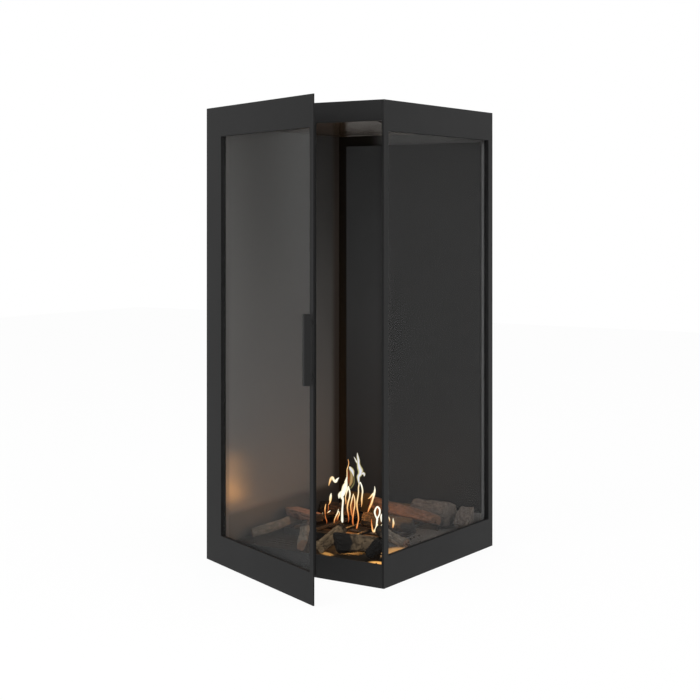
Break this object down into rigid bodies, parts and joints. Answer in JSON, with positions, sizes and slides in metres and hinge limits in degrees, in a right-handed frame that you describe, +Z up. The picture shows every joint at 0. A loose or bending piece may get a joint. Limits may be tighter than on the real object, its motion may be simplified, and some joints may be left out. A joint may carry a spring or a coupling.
{
  "type": "bioethanol corner fireplace",
  "caption": "Tall square corner fireplace with a hinged glass door in front, a fixed side glass, ceramic logs over a bioethanol burner and a sliding damper.",
  "frame": {"origin": "middle of the base's underside, level with the floor", "axes": "-Y out through the door opening, +X out through the side glass, +Z up"},
  "size_m": [0.5021, 0.7301, 1.08],
  "materials": {
    "black_paint": "fine satin black powder coat",
    "dark_liner": "smooth dark heat-proof enamel",
    "black_glass": "polished opaque black glass",
    "smoked_glass": "polished tinted heat-proof glass",
    "graphite_seal": "woven graphite seal",
    "insulation": "matt fibre board",
    "stainless": "brushed stainless steel",
    "bright_pin": "ground steel",
    "magnet": "plated magnet",
    "wool": "white ceramic wool",
    "grate_iron": "matt black iron",
    "log_bark": "rough fired bark",
    "log_split_wood": "fired split-wood grain",
    "log_charcoal": "charred and crazed",
    "log_birch_bark": "fired birch bark"
  },
  "bodies": {
    "body": {"base_pan": "black_paint", "top_casing": "black_paint", "left_casing": "black_paint", "back_casing": "black_paint", "front_lintel": "black_paint", "front_sill": "black_paint", "left_post": "black_paint", "panel_rail_lower": "black_paint", "panel_rail_upper": "black_paint", "side_frame": "black_paint", "side_glass_ledge": "black_paint", "side_glass_angle": "black_paint", "hinge_bracket_lower": "black_paint", "hinge_bracket_upper": "black_paint", "left_liner": "dark_liner", "back_liner": "dark_liner", "ceiling_plate": "dark_liner", "floor_plate": "dark_liner", "back_panel": "black_glass", "side_glass": "smoked_glass", "side_gasket": "graphite_seal", "left_insulation": "insulation", "back_insulation": "insulation", "burner_tank": "stainless", "burner_top": "stainless", "damper_rail_left": "stainless", "damper_rail_right": "stainless", "hinge_pin_lower": "bright_pin", "hinge_pin_upper": "bright_pin", "magnet_catch": "magnet", "burner_wool": "wool", "grate_rail_front": "grate_iron", "grate_rail_back": "grate_iron", "grate_bar_1": "grate_iron", "grate_bar_2": "grate_iron", "grate_bar_3": "grate_iron", "grate_bar_4": "grate_iron", "grate_bar_5": "grate_iron", "log_branch_left": "log_bark", "log_back_right": "log_bark", "log_left_top": "log_bark", "log_left_back": "log_bark", "log_back_centre": "log_bark", "log_right_branch": "log_bark", "log_front_left": "log_bark", "log_front_split": "log_split_wood", "log_front_right": "log_split_wood", "log_charred_stub": "log_charcoal", "log_centre_charred": "log_charcoal", "log_birch": "log_birch_bark"},
    "door": {"door_frame": "black_paint", "door_gasket": "graphite_seal", "door_glass": "smoked_glass", "door_clip_top": "black_paint", "door_clip_bottom": "black_paint", "door_handle": "black_paint", "door_hinge_leaf_lower": "black_paint", "door_hinge_leaf_upper": "black_paint"},
    "damper": {"damper_plate": "stainless", "damper_knob": "stainless"}
  },
  "joints": [
    {"name": "door_hinge", "type": "hinge", "parent": "body", "child": "door", "pos_m": [-0.246, -0.2502, 0], "axis": [0, 0, -1], "range_deg": [-24.1, 75.9]},
    {"name": "damper_slide", "type": "slide", "parent": "body", "child": "damper", "axis": [0, -1, 0], "range_m": [0, 0.046]}
  ]
}
